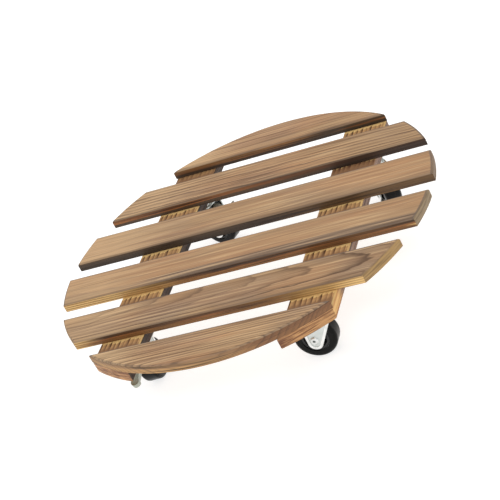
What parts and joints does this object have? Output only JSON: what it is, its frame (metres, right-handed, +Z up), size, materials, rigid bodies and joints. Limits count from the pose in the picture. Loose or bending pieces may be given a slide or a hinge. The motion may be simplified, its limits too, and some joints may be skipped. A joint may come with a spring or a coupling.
{
  "type": "plant pot caddy",
  "caption": "Round slatted wooden plant pot caddy on swivel casters, the left-hand ones with a rocking foot brake.",
  "frame": {"origin": "on the floor, under the middle of the round deck", "axes": "+Z up; X along the slats, +X to the right; -Y is the front, so +Y is the back"},
  "size_m": [0.3792, 0.38, 0.0735],
  "materials": {
    "slat_wood": "scorched and brushed softwood, satin",
    "batten_wood": "scorched softwood, darker on its sides, satin",
    "zinc_steel": "bright zinc-plated pressed steel",
    "ball_steel": "polished bearing steel",
    "screw_steel": "zinc-plated screws",
    "tyre_rubber": "smooth black rubber, slight gloss",
    "hub_plastic": "moulded black plastic"
  },
  "bodies": {
    "deck": {"slat_1": "slat_wood", "slat_2": "slat_wood", "slat_3": "slat_wood", "slat_4": "slat_wood", "slat_5": "slat_wood", "slat_6": "slat_wood", "batten_left": "batten_wood", "batten_right": "batten_wood", "slat_screws_left": "screw_steel", "slat_screws_right": "screw_steel", "front_left_plate": "zinc_steel", "front_left_plate_screws": "screw_steel", "front_left_kingpin": "zinc_steel", "front_right_plate": "zinc_steel", "front_right_plate_screws": "screw_steel", "front_right_kingpin": "zinc_steel", "back_left_plate": "zinc_steel", "back_left_plate_screws": "screw_steel", "back_left_kingpin": "zinc_steel", "back_right_plate": "zinc_steel", "back_right_plate_screws": "screw_steel", "back_right_kingpin": "zinc_steel"},
    "front_left_swivel": {"front_left_fork": "zinc_steel", "front_left_balls": "ball_steel", "front_left_axle": "zinc_steel", "front_left_brake_pin": "zinc_steel"},
    "front_left_wheel": {"front_left_hub": "hub_plastic", "front_left_tyre": "tyre_rubber"},
    "front_left_brake": {"front_left_brake_lever": "zinc_steel"},
    "front_right_swivel": {"front_right_fork": "zinc_steel", "front_right_balls": "ball_steel", "front_right_axle": "zinc_steel"},
    "front_right_wheel": {"front_right_hub": "hub_plastic", "front_right_tyre": "tyre_rubber"},
    "back_left_swivel": {"back_left_fork": "zinc_steel", "back_left_balls": "ball_steel", "back_left_axle": "zinc_steel", "back_left_brake_pin": "zinc_steel"},
    "back_left_wheel": {"back_left_hub": "hub_plastic", "back_left_tyre": "tyre_rubber"},
    "back_left_brake": {"back_left_brake_lever": "zinc_steel"},
    "back_right_swivel": {"back_right_fork": "zinc_steel", "back_right_balls": "ball_steel", "back_right_axle": "zinc_steel"},
    "back_right_wheel": {"back_right_hub": "hub_plastic", "back_right_tyre": "tyre_rubber"}
  },
  "joints": [
    {"name": "front_left_swivel_turn", "type": "hinge", "parent": "deck", "child": "front_left_swivel", "pos_m": [-0.096, -0.116, 0.047], "axis": [0, 0, 1], "continuous": true},
    {"name": "front_left_wheel_roll", "type": "hinge", "parent": "front_left_swivel", "child": "front_left_wheel", "pos_m": [-0.09726, -0.09804, 0.02], "axis": [-0.9976, -0.0698, 0], "continuous": true},
    {"name": "front_left_brake_press", "type": "hinge", "parent": "front_left_swivel", "child": "front_left_brake", "pos_m": [-0.09621, -0.11301, 0.039], "axis": [-0.9976, -0.0698, 0], "range_deg": [0, 8]},
    {"name": "front_right_swivel_turn", "type": "hinge", "parent": "deck", "child": "front_right_swivel", "pos_m": [0.096, -0.116, 0.047], "axis": [0, 0, 1], "continuous": true},
    {"name": "front_right_wheel_roll", "type": "hinge", "parent": "front_right_swivel", "child": "front_right_wheel", "pos_m": [0.078, -0.116, 0.02], "axis": [0, -1, 0], "continuous": true},
    {"name": "back_left_swivel_turn", "type": "hinge", "parent": "deck", "child": "back_left_swivel", "pos_m": [-0.096, 0.116, 0.047], "axis": [0, 0, 1], "continuous": true},
    {"name": "back_left_wheel_roll", "type": "hinge", "parent": "back_left_swivel", "child": "back_left_wheel", "pos_m": [-0.07888, 0.11044, 0.02], "axis": [0.309, 0.9511, 0], "continuous": true},
    {"name": "back_left_brake_press", "type": "hinge", "parent": "back_left_swivel", "child": "back_left_brake", "pos_m": [-0.09315, 0.11507, 0.039], "axis": [0.309, 0.9511, 0], "range_deg": [0, 8]},
    {"name": "back_right_swivel_turn", "type": "hinge", "parent": "deck", "child": "back_right_swivel", "pos_m": [0.096, 0.116, 0.047], "axis": [0, 0, 1], "continuous": true},
    {"name": "back_right_wheel_roll", "type": "hinge", "parent": "back_right_swivel", "child": "back_right_wheel", "pos_m": [0.10658, 0.10144, 0.02], "axis": [0.809, 0.5878, 0], "continuous": true}
  ]
}
